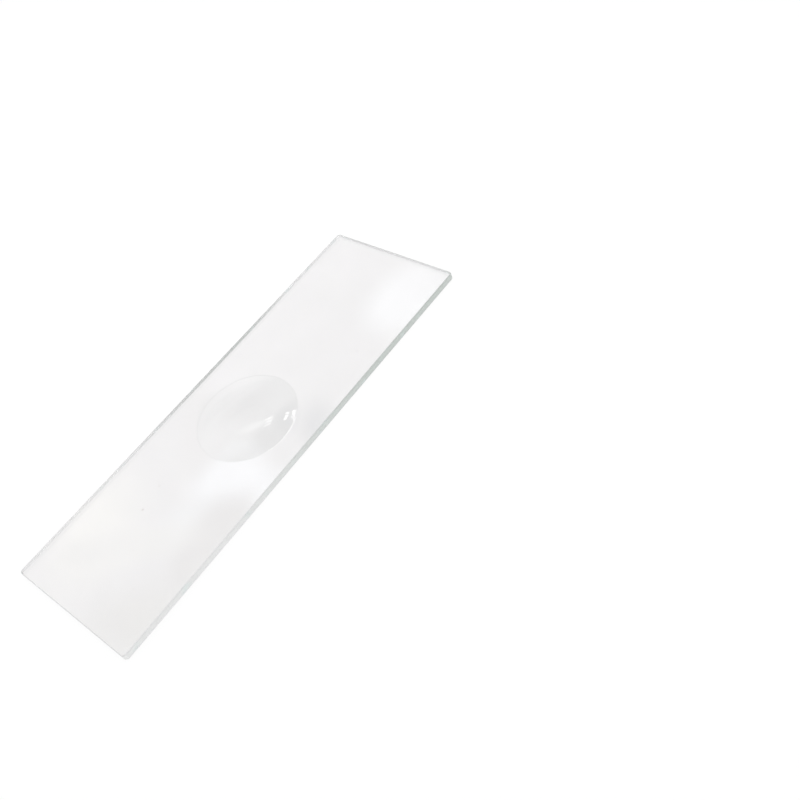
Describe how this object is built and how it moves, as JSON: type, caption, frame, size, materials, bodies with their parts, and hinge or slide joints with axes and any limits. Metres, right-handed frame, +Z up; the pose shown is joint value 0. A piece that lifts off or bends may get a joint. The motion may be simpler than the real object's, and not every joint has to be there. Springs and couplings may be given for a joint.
{
  "type": "microscope slide",
  "caption": "Flat rectangular clear glass slide with ground edges and a shallow round concave well in the middle of its upper face.",
  "frame": {"origin": "middle of the underside, on the surface the slide lies on", "axes": "+X along the slide's length, +Y across it, +Z up out of the face with the well"},
  "size_m": [0.0762, 0.0254, 0.0012],
  "materials": {
    "clear_glass": "clear soda-lime glass: polished faces and well, fine-ground edges with a faint green tone"
  },
  "bodies": {
    "root": {"glass_slide": "clear_glass"}
  },
  "joints": []
}
